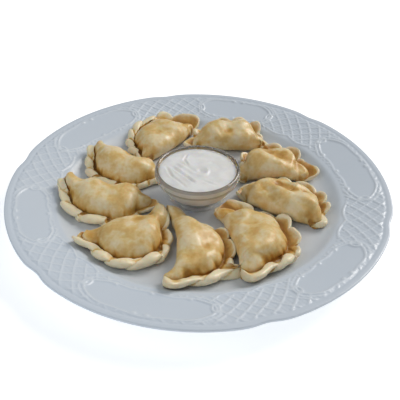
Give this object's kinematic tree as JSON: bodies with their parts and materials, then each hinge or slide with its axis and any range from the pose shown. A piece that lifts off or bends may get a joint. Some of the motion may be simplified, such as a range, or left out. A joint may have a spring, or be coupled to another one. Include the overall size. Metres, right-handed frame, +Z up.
{
  "type": "plate of dumplings",
  "caption": "Half-moon dumplings with crimped edges in a ring round a small glass bowl of sour cream, on a white dinner plate with a notched, relief-patterned rim.",
  "frame": {"origin": "centre of the plate's foot, on the surface the plate stands on", "axes": "+Z up, +X to the viewer's right and +Y away from the viewer"},
  "size_m": [0.27, 0.27, 0.0353],
  "materials": {
    "white_glaze": "glossy white glaze, faintly blue",
    "clear_glass": "clear, polished",
    "white_cream": "soft satin, as thick sour cream",
    "boiled_dough": "moist satin, cream to ochre dough"
  },
  "bodies": {
    "root": {"plate": "white_glaze", "glass_bowl": "clear_glass", "sour_cream": "white_cream", "pierog_front_left": "boiled_dough", "pierog_front": "boiled_dough", "pierog_front_right": "boiled_dough", "pierog_right": "boiled_dough", "pierog_far_right": "boiled_dough", "pierog_back_right": "boiled_dough", "pierog_back_left": "boiled_dough", "pierog_left": "boiled_dough", "pierog_near_left": "boiled_dough"}
  },
  "joints": []
}
